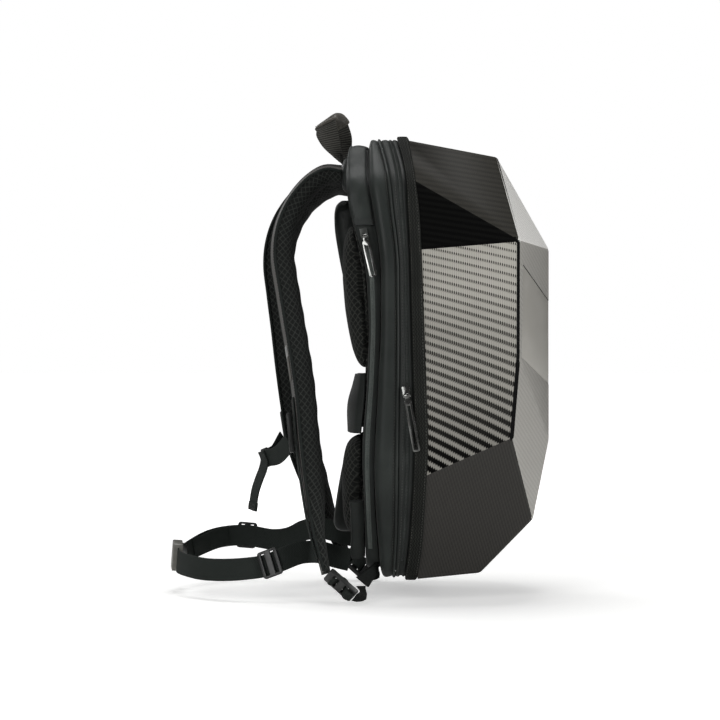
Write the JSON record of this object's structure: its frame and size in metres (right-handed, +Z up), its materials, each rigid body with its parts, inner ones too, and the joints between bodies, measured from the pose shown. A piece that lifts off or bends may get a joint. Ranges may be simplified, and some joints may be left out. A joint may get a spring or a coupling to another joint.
{
  "type": "led backpack",
  "caption": "Hard-shell backpack with a faceted front, a display in it, padded shoulder straps, waist belt, sternum strap and swinging zipper pulls.",
  "frame": {"origin": "middle of the back panel, where the wearer's back sits", "axes": "+Z up along the back, -Y to the shell's flat front, +X to the wearer's right"},
  "size_m": [0.3298, 0.4336, 0.5491],
  "materials": {
    "coated_fabric": "matt coated weave, dark grey-green",
    "spacer_mesh": "diamond spacer mesh",
    "webbing": "ribbed nylon webbing",
    "binding": "coarse woven binding with stitches",
    "carbon_shell": "moulded shell with a carbon twill pattern under satin lacquer",
    "display_glass": "glossy dark display window",
    "smooth_panel": "smooth grey window panel",
    "plastic": "moulded buckle plastic",
    "dark_chrome": "dark chromed metal",
    "grip": "smooth soft grip",
    "zipper_tape": "zipper tape with coil teeth"
  },
  "bodies": {
    "pack": {"main_body": "coated_fabric", "rear_compartment": "coated_fabric", "piping": "coated_fabric", "front_zip_band": "coated_fabric", "shell_trim": "binding", "rear_zipper_left": "zipper_tape", "rear_zipper_right": "zipper_tape", "front_zipper": "zipper_tape", "top_hood": "coated_fabric", "shell": "carbon_shell", "display_wing_left": "smooth_panel", "display_wing_right": "smooth_panel", "led_screen": "display_glass", "back_panel": "spacer_mesh", "upper_pad_left": "spacer_mesh", "upper_pad_right": "spacer_mesh", "lower_pad_left": "spacer_mesh", "lower_pad_right": "spacer_mesh", "spine_pad": "coated_fabric", "lumbar_pad": "coated_fabric", "yoke_panel": "coated_fabric", "strap_pad_left": "spacer_mesh", "strap_cover_left": "coated_fabric", "strap_webbing_left": "webbing", "strap_pad_right": "spacer_mesh", "strap_cover_right": "coated_fabric", "strap_webbing_right": "webbing", "haul_loop": "webbing", "haul_grip": "grip", "trolley_sleeve": "coated_fabric", "belt_wing_left": "coated_fabric", "belt_wing_right": "coated_fabric", "belt_webbing_left": "webbing", "belt_tail_left": "webbing", "tri_glide_left": "plastic", "belt_buckle_left": "plastic", "belt_webbing_right": "webbing", "belt_tail_right": "webbing", "tri_glide_right": "plastic", "belt_buckle_right": "plastic", "ladder_lock_left": "plastic", "lower_webbing_left": "webbing", "ladder_lock_right": "plastic", "lower_webbing_right": "webbing", "corner_tab_left": "webbing", "corner_tab_right": "webbing", "sternum_clip_left": "plastic", "sternum_webbing_left": "webbing", "sternum_buckle_left": "plastic", "sternum_clip_right": "plastic", "sternum_webbing_right": "webbing", "sternum_buckle_right": "plastic", "sternum_tail": "webbing", "slider_rear_left": "dark_chrome", "slider_rear_right": "dark_chrome", "slider_front": "dark_chrome"},
    "pull_rear_left_body": {"pull_rear_left": "dark_chrome"},
    "pull_rear_right_body": {"pull_rear_right": "dark_chrome"},
    "pull_front_body": {"pull_front": "dark_chrome"}
  },
  "joints": [
    {"name": "rear_left_pull_swing", "type": "hinge", "parent": "pack", "child": "pull_rear_left_body", "pos_m": [-0.15332, -0.03079, 0.13329], "axis": [-0.0412, 0.9751, -0.218], "range_deg": [0, 150]},
    {"name": "rear_right_pull_swing", "type": "hinge", "parent": "pack", "child": "pull_rear_right_body", "pos_m": [0.15332, -0.03079, 0.13329], "axis": [-0.0412, -0.9751, 0.218], "range_deg": [0, 150]},
    {"name": "front_pull_swing", "type": "hinge", "parent": "pack", "child": "pull_front_body", "pos_m": [-0.1646, -0.07676, -0.03813], "axis": [0, 0.9838, -0.179], "range_deg": [0, 150]}
  ]
}
